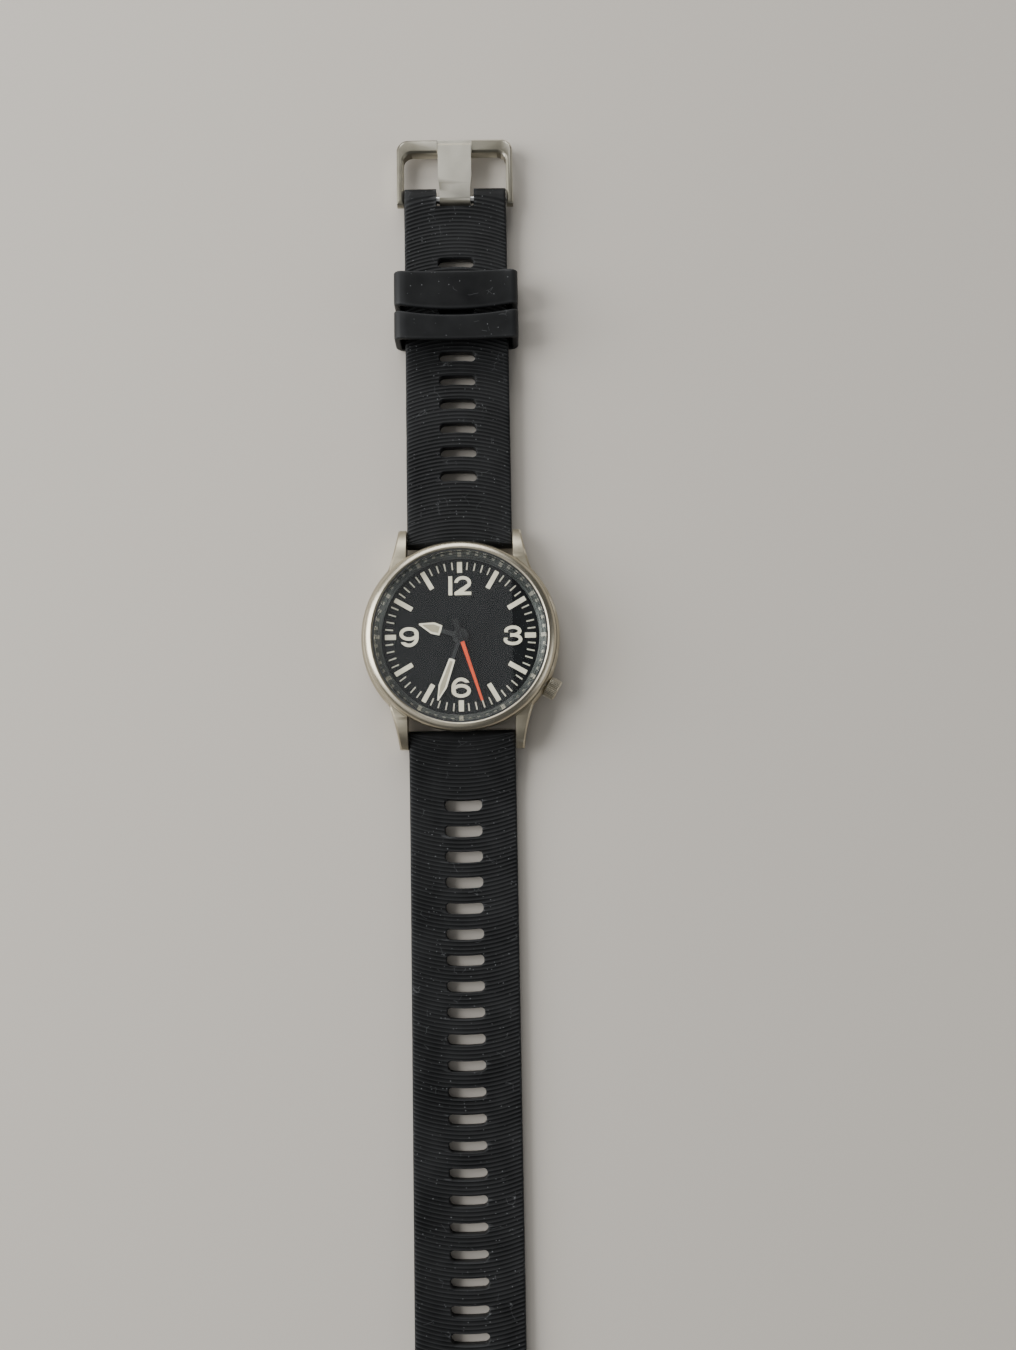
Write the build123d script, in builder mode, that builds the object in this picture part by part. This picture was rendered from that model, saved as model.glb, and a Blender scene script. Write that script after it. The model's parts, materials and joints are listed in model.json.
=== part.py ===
from build123d import *
import math
import os

# A round three-hand quartz watch on a two-piece slotted rubber strap with two free keepers and a pin
# buckle, opened flat. Millimetres. The origin is on the dial's axis at the outer face of the case
# back, +Y runs to 12 o'clock, +X to 3 o'clock and +Z out of the dial.

os.makedirs("parts", exist_ok=True)

# Driving dimensions -------------------------------------------------------------------------------
strap_width = 20.0
strap_thick = 2.6
side_play = 0.1                    # strap to lug, and strap to buckle arm, on each side
gap_half = strap_width / 2 + side_play

case_radius = 18.6
case_waist = 17.0                  # radius of the case between the lugs
case_low = 0.9
case_top = 6.6
bore_radius = 14.6                 # room for the movement holder and the case back's spigot
seat_radius = 16.25                # counterbore that takes the dial
lug_reach = 20.85
lug_tip = 1.55
lug_width = 2.15                   # half way along the lug

bezel_radius = 17.9
bezel_top = 8.6
crystal_radius = 16.0
crystal_low = 7.2
crystal_top = 8.7
gasket_wall = 0.3

dial_low = 5.5
dial_top = 5.9
dial_opening = 14.75
track_radius = 14.1
marker_rise = 0.12
print_rise = 0.03

bar_reach = 19.0                   # lug bar axis from the dial's axis
bar_height = 2.6
bar_radius = 0.9
running_play = 0.05
slot_first = 31.5
slot_pitch = 4.75
slot_length = 6.95
slot_gap = 2.0
short_slots = 10
long_slots = 23
strap_tip = 145.0
table_reach = 31.0                 # where the long half comes to rest on the table

keeper_width = 23.9
keeper_height = 7.9
keeper_wall = 1.2
keeper_sag = 1.25
keeper_edges = {"keeper_lower": (57.6, 63.5), "keeper_upper": (64.5, 71.2)}

buckle_axis = 87.5
buckle_bar_radius = 0.75
buckle_top = 99.5
buckle_bridge = 2.7                # depth of the bar that the tang rests on
buckle_arm = 1.3
buckle_low = 1.3
buckle_high = 3.9
tang_width = 6.5
tang_root = 6.0
tang_thick = 1.15
tang_tip = 98.6
tang_notch = 7.4                   # width of the cut-out in the strap's end
notch_depth = 2.1                  # from the buckle's bar towards the case

movement_radius = 12.85
plate_low = 4.2
plate_top = 4.8
bridge_low = 1.9
bridge_top = 2.4
stem_height = 4.0
stem_angle = -30.0                 # 4 o'clock
crown_radius = 2.0
crown_face = 18.4
crown_end = 20.8

hour_angle = 90.0 - 287.2          # directions from +X, in degrees
minute_angle = 90.0 - 199.8
second_angle = 90.0 - 162.2

base = (Align.CENTER, Align.CENTER, Align.MIN)


# Helpers ------------------------------------------------------------------------------------------
def save(piece, name):
    """Label a finished piece and write its file."""
    piece.part.label = name
    export_step(piece.part, f"parts/{name}.step")


def polar(radius, angle):
    """Point at a radius and a direction in degrees."""
    return radius * math.cos(math.radians(angle)), radius * math.sin(math.radians(angle))


def post(radius, low, high, at=(0, 0), mode=Mode.ADD):
    """Upright cylinder between two heights."""
    with Locations((at[0], at[1], low)):
        Cylinder(radius, high - low, align=base, mode=mode)


def turned(*profile, mode=Mode.ADD):
    """Ring or disc turned about the dial's axis from (radius, height) corners."""
    with BuildSketch(Plane.XZ) as section:
        with BuildLine():
            Polyline(*profile, close=True)
        make_face()
    revolve(section.sketch, axis=Axis.Z, mode=mode)


def cross_bar(radius, start, end, centre, mode=Mode.ADD):
    """Cylinder along X between two x values, on an axis at (y, z)."""
    with Locations(Plane(origin=(start, *centre), z_dir=(1, 0, 0))):
        Cylinder(radius, end - start, align=base, mode=mode)


def spoke_plane(angle, distance, height):
    """Plane square to a direction in the dial's plane, with its own X axis along +Z."""
    x, y = polar(1, angle)
    return Plane(origin=(x * distance, y * distance, height), x_dir=(0, 0, 1), z_dir=(x, y, 0))


def spoke(radius, start, end, mode=Mode.ADD):
    """Cylinder on the stem's axis between two distances from the dial's axis."""
    with Locations(spoke_plane(stem_angle, start, stem_height)):
        Cylinder(radius, end - start, align=base, mode=mode)


def toothed(teeth, module, turn, low, high, at=(0, 0)):
    """Spur wheel with straight-sided teeth that are thin enough to run with free play."""
    step = 360 / teeth
    root = module * (teeth / 2 - 1.15)
    tip = module * (teeth / 2 + 0.8)
    flank = ((root, -0.28), (tip, -0.1), (tip, 0.1), (root, 0.28))
    corners = [polar(r, turn + (tooth + share) * step) for tooth in range(teeth) for r, share in flank]
    with BuildSketch(Plane(origin=(at[0], at[1], low))) as outline:
        with BuildLine():
            Polyline(*corners, close=True)
        make_face()
    extrude(outline.sketch, amount=high - low)


def crossings(radius, size, low, high, at=(0, 0)):
    """Five round lightening holes in a wheel."""
    with Locations(Plane(origin=(at[0], at[1], low))):
        with PolarLocations(radius, 5):
            Cylinder(size, high - low, align=base, mode=Mode.SUBTRACT)


# Case ---------------------------------------------------------------------------------------------
with BuildPart() as lug:
    with BuildSketch(Plane.XY.offset(case_low)):
        with BuildLine():
            shoulder = polar(case_radius - 0.35, 41)
            Polyline(
                (gap_half, shoulder[1] - 2),
                (gap_half, lug_reach),
                (gap_half + lug_tip, lug_reach),
            )
            ThreePointArc((gap_half + lug_tip, lug_reach), (gap_half + lug_width, 17.0), shoulder)
            Line(shoulder, (gap_half, shoulder[1] - 2))
        make_face()
    extrude(amount=case_top - case_low)
    with BuildSketch(Plane.YZ):
        with BuildLine():
            Polyline(
                (lug_reach, 3.7),
                (lug_reach, 1.6),
                (lug_reach - 1.6, case_low),
                (0, case_low),
                (0, case_top - 0.2),
                (14.5, case_top - 0.2),
            )
            ThreePointArc((14.5, case_top - 0.2), (18.6, 5.55), (lug_reach, 3.7))
        make_face()
    extrude(amount=case_radius + 5, mode=Mode.INTERSECT)
    outer_edges = lug.edges().filter_by(lambda e: e.center().X > gap_half + 0.3 and e.center().Z > 3.8)
    chamfer(outer_edges.filter_by(lambda e: e.center().Y > shoulder[1] + 1), length=0.35)

with BuildPart() as mid_case:
    turned(
        (0, case_low), (16.6, case_low), (17.9, 1.7), (case_radius, 2.8), (case_radius, 5.7),
        (18.1, case_top), (0, case_top),
    )
    add(lug.part)
    add(lug.part.mirror(Plane.YZ))
    add(lug.part.mirror(Plane.XZ))
    add(lug.part.mirror(Plane.YZ).mirror(Plane.XZ))
    # Between the lugs the case steps back to its waist
    with BuildSketch(Plane.XY.offset(case_low)):
        Rectangle(2 * gap_half, 3 * case_radius)
        Circle(case_waist, mode=Mode.SUBTRACT)
    extrude(amount=case_top - case_low, mode=Mode.SUBTRACT)
    # Bores for the case back, the movement and the dial, and the spigot that the bezel snaps on
    turned(
        (0, case_low), (15.65, case_low), (15.65, 1.3), (15.3, 1.3), (15.3, 1.8), (bore_radius, 1.8),
        (bore_radius, dial_low), (seat_radius, dial_low), (seat_radius, case_top), (0, case_top),
        mode=Mode.SUBTRACT,
    )
    turned((seat_radius, case_top), (16.9, case_top), (16.9, 7.1), (16.7, crystal_low),
           (seat_radius, crystal_low))
    for side in (1, -1):
        cross_bar(0.4, -gap_half - 1.1, gap_half + 1.1, (side * bar_reach, bar_height), Mode.SUBTRACT)
    spoke(crown_radius + 0.3, 18.2, 22, Mode.SUBTRACT)
    spoke(1.0, 13, 19, Mode.SUBTRACT)
save(mid_case, "mid_case")

with BuildPart() as bezel:
    turned(
        (seat_radius + 0.65, case_top), (bezel_radius, case_top), (bezel_radius, 7.7), (17.55, 8.2),
        (17.0, 8.52), (16.6, bezel_top), (16.3, bezel_top - 0.12), (16.3, crystal_low),
        (seat_radius + 0.65, crystal_low),
    )
save(bezel, "bezel")

with BuildPart() as crystal:
    turned(
        (0, crystal_low), (crystal_radius, crystal_low), (crystal_radius, crystal_top - 0.3),
        (crystal_radius - 0.35, crystal_top), (0, crystal_top),
    )
save(crystal, "crystal")

with BuildPart() as crystal_gasket:
    turned(
        (crystal_radius, crystal_low), (crystal_radius + gasket_wall, crystal_low),
        (crystal_radius + gasket_wall, crystal_top - 0.35), (crystal_radius, crystal_top - 0.35),
    )
save(crystal_gasket, "crystal_gasket")

with BuildPart() as chapter_ring:
    turned((dial_opening, dial_top), (seat_radius, dial_top), (seat_radius, crystal_low),
           (15.9, crystal_low), (dial_opening, dial_top + 0.15))
save(chapter_ring, "chapter_ring")

with BuildPart() as case_back:
    turned((0, 0), (15.1, 0), (15.6, 0.4), (15.6, 1.3), (bore_radius, 1.3), (bore_radius, 2.2),
           (13.7, 2.2), (13.7, 0.9), (0, 0.9))
    with PolarLocations(15.0, 6, start_angle=30):
        Box(2.0, 2.2, 1.0, mode=Mode.SUBTRACT)
save(case_back, "case_back")

with BuildPart() as case_back_gasket:
    turned((bore_radius, 1.3), (15.3, 1.3), (15.3, 1.8), (bore_radius, 1.8))
save(case_back_gasket, "case_back_gasket")

with BuildPart() as movement_holder:
    turned((movement_radius, 2.2), (bore_radius, 2.2), (bore_radius, dial_low),
           (movement_radius, dial_low))
    spoke(1.0, 12, 16, Mode.SUBTRACT)
save(movement_holder, "movement_holder")

with BuildPart() as crown_tube:
    spoke(1.0, bore_radius + 0.3, 19.6)
    spoke(0.5, 12, 20, Mode.SUBTRACT)
save(crown_tube, "crown_tube")


# Dial ---------------------------------------------------------------------------------------------
dial_feet = [polar(9.6, 60), polar(10.6, 180)]
with BuildPart() as dial:
    post(seat_radius, dial_low, dial_top)
    post(1.05, dial_low, dial_top, mode=Mode.SUBTRACT)
    for foot in dial_feet:
        post(0.35, plate_low + 0.1, dial_low, foot)
save(dial, "dial")

# The raised markers are four short batons at the quarters, eight long ones, and the figures
quarter_inner = 12.05
hour_inner = 10.4
ring_ends = {                      # each oval ring of a figure: its place and half sizes, then its hole's
    "two": ((0.565, 0.55), (1.565, 1.25), (0.92, 0.65)),
    "three_top": ((0, 0.83), (1.6, 1.02), (0.95, 0.43)),
    "three_low": ((0, -0.75), (1.75, 1.1), (1.1, 0.51)),
    "six_tall": ((0, 0), (1.8, 1.87), (1.14, 1.25)),
    "six_bowl": ((0, -0.6), (1.8, 1.27), (1.14, 0.65)),
}


def baton(angle, inner, width):
    """Round-cornered baton that ends on the minute track."""
    length = track_radius - inner
    spot = polar(track_radius - length / 2, angle)
    with Locations(Location((*spot, 0), (0, 0, angle))):
        RectangleRounded(length, width, 0.08)


def oval(figure):
    """Oval ring that a figure is cut from."""
    place, size, hole = ring_ends[figure]
    with Locations(place):
        Ellipse(*size)
        Ellipse(*hole, mode=Mode.SUBTRACT)


def block(low, high, mode=Mode.ADD):
    """Rectangle between two corners."""
    with Locations(((low[0] + high[0]) / 2, (low[1] + high[1]) / 2)):
        Rectangle(high[0] - low[0], high[1] - low[1], mode=mode)


with BuildPart() as lume_markers:
    with BuildSketch(Plane.XY.offset(dial_top)):
        for hour in range(12):
            quarter = hour % 3 == 0
            baton(90 - 30 * hour, quarter_inner if quarter else hour_inner, 0.95 if quarter else 0.88)
    extrude(amount=marker_rise)
    with BuildSketch(Plane(origin=(0, 9.6, dial_top))):
        oval("two")
        block((-1.2, -0.85), (0.5, 0.55), Mode.SUBTRACT)
        block((0.4, -0.85), (2.3, 0.28), Mode.SUBTRACT)
        with BuildLine():
            Polyline((1.41, 0.3), (2.09, 0.3), (1.97, -0.1), (0.72, -1.17), (2.13, -1.17), (2.13, -1.8),
                     (-1.0, -1.8), (-1.0, -1.27), close=True)
        make_face()
        block((-2.13, -1.8), (-1.42, 1.8))
    extrude(amount=marker_rise)
    with BuildSketch(Plane(origin=(9.8, 0, dial_top))):
        oval("three_top")
        block((-0.9, -0.2), (0.9, 0.3), Mode.SUBTRACT)
        with BuildSketch(mode=Mode.PRIVATE) as three_low:
            oval("three_low")
        add(three_low.sketch)
        block((-1.9, -0.45), (-0.5, 0.62), Mode.SUBTRACT)
        block((-0.5, -0.22), (0.3, 0.39))
    extrude(amount=marker_rise)
    for spot, turn in (((0, -9.66), 0), ((-9.6, 0), 180)):
        with BuildSketch(Plane(origin=(*spot, dial_top)).rotated((0, 0, turn))):
            oval("six_tall")
            block((0, -1.9), (1.9, 0.95), Mode.SUBTRACT)
            block((-0.95, -1.9), (0.1, 0.5), Mode.SUBTRACT)
            with BuildSketch(mode=Mode.PRIVATE) as six_bowl:
                oval("six_bowl")
            add(six_bowl.sketch)
        extrude(amount=marker_rise)
save(lume_markers, "lume_markers")

with BuildPart() as minute_track:
    with BuildSketch(Plane.XY.offset(dial_top)):
        for minute in range(60):
            if minute % 5:
                spot = polar(track_radius - 0.725, 6 * minute)
                with Locations(Location((*spot, 0), (0, 0, 6 * minute))):
                    Rectangle(1.45, 0.25)
    extrude(amount=print_rise)
save(minute_track, "minute_track")


# Hands --------------------------------------------------------------------------------------------
def blade(inner, widest, outer, root_half, wide_half, tip_half):
    """Pointed blade along +X with a small flat tip."""
    return [
        (inner, root_half), (widest, wide_half), (outer, tip_half),
        (outer, -tip_half), (widest, -wide_half), (inner, -root_half),
    ]


def hand_sketch(angle, low, corners):
    """Sketch of one blade, turned to its direction."""
    with BuildSketch(Plane(origin=(0, 0, low)).rotated((0, 0, angle))) as outline:
        with BuildLine():
            Polyline(*corners, close=True)
        make_face()
    return outline.sketch


hour_blade = blade(3.8, 5.4, 8.06, 0.97, 1.1, 0.12)
hour_window = blade(4.15, 5.4, 7.35, 0.62, 0.73, 0.1)
minute_blade = blade(4.66, 10.0, 12.8, 0.57, 0.8, 0.1)
minute_window = blade(5.05, 10.0, 12.0, 0.27, 0.46, 0.08)
hand_levels = {"hour": (6.15, 6.3), "minute": (6.45, 6.6), "second": (6.75, 6.87)}
hour_tube = 0.92
centre_tube = 0.62
second_arbor = 0.25

for name, angle, corners, window, hub, stem_half, tube in (
    ("hour", hour_angle, hour_blade, hour_window, 1.5, 0.42, hour_tube),
    ("minute", minute_angle, minute_blade, minute_window, 1.2, 0.34, centre_tube),
):
    low, high = hand_levels[name]
    with BuildPart() as hand:
        post(hub, low, high)
        extrude(hand_sketch(angle, low, corners), amount=high - low)
        stem = [(0, stem_half), (corners[0][0] + 0.1, stem_half), (corners[0][0] + 0.1, -stem_half),
                (0, -stem_half)]
        extrude(hand_sketch(angle, low, stem), amount=high - low)
        extrude(hand_sketch(angle, low, window), amount=high - low, mode=Mode.SUBTRACT)
        post(tube, low, high, mode=Mode.SUBTRACT)
    save(hand, f"{name}_hand")
    with BuildPart() as hand_lume:
        extrude(hand_sketch(angle, low, window), amount=high - low)
    save(hand_lume, f"{name}_hand_lume")

with BuildPart() as second_hand:
    low, high = hand_levels["second"]
    post(0.9, low, high)
    needle = [(0, 0.375), (12.8, 0.22), (12.8, -0.22), (0, -0.375)]
    tail = [(0, 0.4), (-3.4, 0.55), (-3.4, -0.55), (0, -0.4)]
    extrude(hand_sketch(second_angle, low, needle), amount=high - low)
    extrude(hand_sketch(second_angle, low, tail), amount=high - low)
    post(second_arbor, low, high, mode=Mode.SUBTRACT)
save(second_hand, "second_hand")


# Gear train ---------------------------------------------------------------------------------------
# Centre distances are half the sum of the teeth times the module of each pair.
train_angle = 20.0
drive_module = 0.09                # rotor pinion 8 and intermediate wheel 40
pair_module = 0.1                  # intermediate pinion 10 and seconds wheel 60
third_module = 0.11                # seconds pinion 8 and third wheel 60
third_reach = (8 + 60) * third_module / 2
centre_module = 2 * third_reach / (8 + 64)   # third pinion 8 and centre wheel 64
cannon_module = 0.125              # cannon pinion 12, minute wheel 36 and setting wheel 20
hour_module = 0.12                 # minute pinion 10 and hour wheel 40
intermediate_reach = (10 + 60) * pair_module / 2
rotor_reach = intermediate_reach + (8 + 40) * drive_module / 2
minute_reach = (12 + 36) * cannon_module / 2
setting_reach = minute_reach + (36 + 20) * cannon_module / 2

third_spot = polar(third_reach, train_angle + 180)
intermediate_spot = polar(intermediate_reach, train_angle)
rotor_spot = polar(rotor_reach, train_angle)
minute_spot = polar(minute_reach, stem_angle)
setting_spot = polar(setting_reach, stem_angle)
away = train_angle + 180

with BuildPart() as second_wheel:
    toothed(60, pair_module, train_angle + 3, 2.55, 2.7)
    crossings(1.75, 0.6, 2.55, 2.7)
    toothed(8, third_module, away, 2.7, 3.1)
    post(second_arbor, bridge_low + 0.05, hand_levels["second"][1])
save(second_wheel, "second_wheel")

with BuildPart() as third_wheel:
    toothed(60, third_module, train_angle + 3, 2.85, 3.0, third_spot)
    crossings(1.9, 0.7, 2.85, 3.0, third_spot)
    toothed(8, centre_module, train_angle, 3.2, 3.8, third_spot)
    post(0.25, 2.6, 4.0, third_spot)
    post(0.15, bridge_low + 0.05, plate_top - 0.1, third_spot)
save(third_wheel, "third_wheel")

with BuildPart() as centre_wheel:
    toothed(64, centre_module, away + 180 / 64, 3.45, 3.6)
    crossings(1.9, 0.7, 3.45, 3.6)
    toothed(12, cannon_module, stem_angle, plate_top + 0.05, 5.1)
    post(centre_tube, 3.3, hand_levels["minute"][1])
    post(second_arbor + running_play, 3.3, hand_levels["minute"][1], mode=Mode.SUBTRACT)
save(centre_wheel, "centre_wheel")

with BuildPart() as intermediate_wheel:
    toothed(40, drive_module, train_angle + 4.5, 3.05, 3.2, intermediate_spot)
    toothed(10, pair_module, away, 2.45, 2.95, intermediate_spot)
    post(0.22, 2.6, 4.0, intermediate_spot)
    post(0.13, bridge_low + 0.05, plate_top - 0.1, intermediate_spot)
save(intermediate_wheel, "intermediate_wheel")

with BuildPart() as rotor:
    toothed(8, drive_module, away, 2.9, 3.3, rotor_spot)
    post(0.75, 3.35, 3.8, rotor_spot)
    post(0.12, bridge_low + 0.05, plate_top - 0.1, rotor_spot)
save(rotor, "rotor")

with BuildPart() as minute_wheel:
    toothed(36, cannon_module, stem_angle + 185, 4.9, 5.05, minute_spot)
    toothed(10, hour_module, stem_angle + 180, 5.05, 5.32, minute_spot)
    post(0.3, 4.9, 5.32, minute_spot, mode=Mode.SUBTRACT)
save(minute_wheel, "minute_wheel")

with BuildPart() as hour_wheel:
    toothed(40, hour_module, stem_angle + 4.5, 5.15, 5.3)
    post(hour_tube, 5.15, hand_levels["hour"][1])
    post(centre_tube + running_play, 5.1, 7, mode=Mode.SUBTRACT)
save(hour_wheel, "hour_wheel")

with BuildPart() as setting_wheel:
    toothed(20, cannon_module, stem_angle + 180, 4.9, 5.05, setting_spot)
    post(0.3, 4.9, 5.05, setting_spot, mode=Mode.SUBTRACT)
save(setting_wheel, "setting_wheel")


# Movement frame -----------------------------------------------------------------------------------
pillars = [polar(8.3, 200), polar(6.9, 70), polar(6.9, -50)]
board_posts = [polar(11.6, 232), polar(11.6, 283)]
battery_spot = polar(8.4, 110)
battery_radius = 3.4
battery_low = 1.35
battery_high = 3.45

with BuildPart() as main_plate:
    turned((0, plate_low), (movement_radius, plate_low), (movement_radius, dial_low),
           (11.7, dial_low), (11.7, plate_top), (0, plate_top))
    for pillar in pillars:
        post(0.7, bridge_top, plate_low, pillar)
        post(0.3, bridge_top, plate_low - 0.5, pillar, mode=Mode.SUBTRACT)
    for spot in board_posts:
        post(0.5, 2.1, plate_low, spot)
    for spot in (minute_spot, setting_spot):
        post(0.25, plate_top, 5.2, spot)
    post(centre_tube + running_play, plate_low, plate_top, mode=Mode.SUBTRACT)
    for spot, pivot in ((third_spot, 0.15), (intermediate_spot, 0.13), (rotor_spot, 0.12)):
        post(pivot + running_play, plate_low, plate_top, spot, mode=Mode.SUBTRACT)
    for foot in dial_feet:
        post(0.35, plate_low, plate_top, foot, mode=Mode.SUBTRACT)
    with Locations(spoke_plane(stem_angle, 6.6, stem_height)):
        Box(1.1, 1.1, 14, align=base, mode=Mode.SUBTRACT)
    with Locations(spoke_plane(stem_angle, 8.0, stem_height)):
        Box(2.4, 2.4, 2.0, align=base, mode=Mode.SUBTRACT)
save(main_plate, "main_plate")

with BuildPart() as train_bridge:
    with BuildSketch(Plane.XY.offset(bridge_low)):
        with BuildLine():
            Polyline(*pillars, close=True)
        make_face()
        offset(amount=1.1)
    extrude(amount=bridge_top - bridge_low)
    for pillar in pillars:
        post(0.3, bridge_low, bridge_top, pillar, mode=Mode.SUBTRACT)
    post(second_arbor + running_play, bridge_low, bridge_top, mode=Mode.SUBTRACT)
    for spot, pivot in ((third_spot, 0.15), (intermediate_spot, 0.13), (rotor_spot, 0.12)):
        post(pivot + running_play, bridge_low, bridge_top, spot, mode=Mode.SUBTRACT)
    post(battery_radius + 0.2, bridge_low, bridge_top, battery_spot, mode=Mode.SUBTRACT)
save(train_bridge, "train_bridge")

with BuildPart() as movement_screws:
    for pillar in pillars:
        post(0.6, bridge_low - 0.3, bridge_low, pillar)
        post(0.3, bridge_low, plate_low - 0.6, pillar)
        with Locations((*pillar, bridge_low - 0.3)):
            Box(1.3, 0.2, 0.3, mode=Mode.SUBTRACT)
save(movement_screws, "movement_screws")

with BuildPart() as circuit_board:
    with BuildSketch(Plane.XY.offset(bridge_low)):
        with BuildLine():
            CenterArc((0, 0), 12.4, 222, 68)
            Line(polar(12.4, 290), polar(7.2, 290))
            CenterArc((0, 0), 7.2, 222, 68)
            Line(polar(7.2, 222), polar(12.4, 222))
        make_face()
    extrude(amount=0.2)
    with Locations((*polar(9.3, 274), bridge_low + 0.2)):
        Box(2.2, 2.2, 0.5, align=base)
save(circuit_board, "circuit_board")

with BuildPart() as quartz_oscillator:
    can = Plane(origin=(*polar(9.6, 244), bridge_low + 0.95), z_dir=(*polar(1, 334), 0))
    with Locations(can):
        Cylinder(0.75, 5.0)
save(quartz_oscillator, "quartz_oscillator")

coil_plane = Plane(origin=(*rotor_spot, 3.4), x_dir=(*polar(1, train_angle + 90), 0))
coil_offset = -2.7                 # the coil lies outside the rotor, beside the stator
with BuildPart() as stator:
    with BuildSketch(coil_plane):
        Rectangle(8.0, 2.6)
        with Locations((3.5, -2.3), (-3.5, -2.3)):
            Rectangle(1.0, 2.2)
        Circle(0.95, mode=Mode.SUBTRACT)
    extrude(amount=0.3)
save(stator, "stator")

coil_axis = coil_plane.offset(-0.15).location * Location((0, coil_offset, 0), (0, 90, 0))
with BuildPart() as coil_core:
    with BuildSketch(coil_plane.offset(-0.3)):
        with Locations((0, coil_offset)):
            Rectangle(8.0, 1.3)
    extrude(amount=0.3)
save(coil_core, "coil_core")

with BuildPart() as coil_winding:
    with Locations(coil_axis):
        Cylinder(0.85, 5.6)
    with BuildSketch(coil_plane.offset(-0.3)):
        with Locations((0, coil_offset)):
            Rectangle(8.0, 1.3)
    extrude(amount=0.3, mode=Mode.SUBTRACT)
save(coil_winding, "coil_winding")

with BuildPart() as battery:
    post(battery_radius, battery_low, battery_high - 0.3, battery_spot)
    post(battery_radius - 0.5, battery_high - 0.3, battery_high, battery_spot)
save(battery, "battery")

with BuildPart() as battery_clamp:
    with Locations((*battery_spot, battery_low - 0.2)):
        Box(2 * battery_radius + 1.0, 1.4, 0.2, align=base)
    for side in (1, -1):
        with Locations((battery_spot[0] + side * (battery_radius + 0.35), battery_spot[1], battery_low)):
            Box(0.3, 1.4, plate_low - battery_low, align=base)
save(battery_clamp, "battery_clamp")

with BuildPart() as negative_contact:
    with Locations((*battery_spot, battery_high)):
        Box(1.2, 3.0, 0.15, align=base)
    with Locations((battery_spot[0], battery_spot[1] - 1.35, battery_high + 0.15)):
        Box(1.2, 0.3, plate_low - battery_high - 0.15, align=base)
save(negative_contact, "negative_contact")

# The setting lever and the yoke lie under the stem, one on each side of it
stem_plane = Plane(origin=(0, 0, 3.1), x_dir=(*polar(1, stem_angle), 0))
for name, pivot, nose in (("setting_lever", (9.4, -2.9), (11.3, -0.3)), ("yoke", (11.6, 2.9), (9.1, 1.35))):
    with BuildPart() as lever:
        with BuildSketch(stem_plane):
            with BuildLine():
                Line(pivot, nose)
            trace(line_width=0.8)
            with Locations(pivot):
                Circle(0.7)
        extrude(amount=0.25)
        with BuildSketch(stem_plane.offset(0.25)):
            with Locations(pivot):
                Circle(0.35)
        extrude(amount=plate_low - 3.35)
    save(lever, name)

with BuildPart() as sliding_pinion:
    spoke(0.95, 8.4, 9.6)
    spoke(0.7, 8.9, 9.2, Mode.SUBTRACT)
    spoke(0.7, 8.9, 9.2)
    with Locations(spoke_plane(stem_angle, 8.4, stem_height)):
        with PolarLocations(0.8, 10):
            Box(0.5, 0.18, 0.5, mode=Mode.SUBTRACT)
    spoke(0.45 + running_play, 8, 10, Mode.SUBTRACT)
save(sliding_pinion, "sliding_pinion")

stem_shoulder = 19.9
with BuildPart() as winding_stem:
    spoke(0.45, 7.0, stem_shoulder)
save(winding_stem, "winding_stem")

with BuildPart() as crown:
    spoke(crown_radius, crown_face, crown_end)
    chamfer(crown.edges().filter_by(GeomType.CIRCLE), length=0.25)
    with Locations(spoke_plane(stem_angle, crown_face + 0.25, stem_height)):
        with PolarLocations(crown_radius, 36):
            Cylinder(0.11, crown_end - crown_face, align=base, mode=Mode.SUBTRACT)
    spoke(1.35, 18, 19.7, Mode.SUBTRACT)
    spoke(0.45, 18, stem_shoulder, Mode.SUBTRACT)
save(crown, "crown")

with BuildPart() as crown_gasket:
    spoke(1.35, 18.6, 19.0)
    spoke(1.0 + running_play, 18, 20, Mode.SUBTRACT)
save(crown_gasket, "crown_gasket")


# Strap --------------------------------------------------------------------------------------------
half_thick = strap_thick / 2
eye = 1.65                         # radius of the strap's end round a lug bar
buckle_eye = 2.1


def slot_row(first, pitch, count):
    """Row of round-cornered slots through the strap, along Y."""
    for number in range(count):
        with BuildSketch(Plane(origin=(0, first + pitch * number, -1))) as slot:
            RectangleRounded(slot_length, slot_gap, 0.85)
        extrude(slot.sketch, amount=10, mode=Mode.SUBTRACT)


with BuildPart() as strap_short:
    with BuildSketch(Plane.YZ.offset(-strap_width / 2)):
        with BuildLine():
            low, high = bar_height - half_thick, bar_height + half_thick
            Polyline(
                (bar_reach, bar_height + eye), (bar_reach + 9, high), (buckle_axis - 6, high),
                (buckle_axis, bar_height + buckle_eye), (buckle_axis, bar_height - buckle_eye),
                (buckle_axis - 6, low), (bar_reach + 9, low), (bar_reach, bar_height - eye), close=True,
            )
        make_face()
        with Locations((bar_reach, bar_height)):
            Circle(eye)
        with Locations((buckle_axis, bar_height)):
            Circle(buckle_eye)
    extrude(amount=strap_width)
    cross_bar(bar_radius + running_play, -11, 11, (bar_reach, bar_height), Mode.SUBTRACT)
    cross_bar(buckle_bar_radius + running_play, -11, 11, (buckle_axis, bar_height), Mode.SUBTRACT)
    with Locations((0, buckle_axis + 5, 0)):
        Box(tang_notch, 2 * (5 + notch_depth), 12, mode=Mode.SUBTRACT)
    slot_row(slot_first, slot_pitch, short_slots)
save(strap_short, "strap_short")

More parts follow.
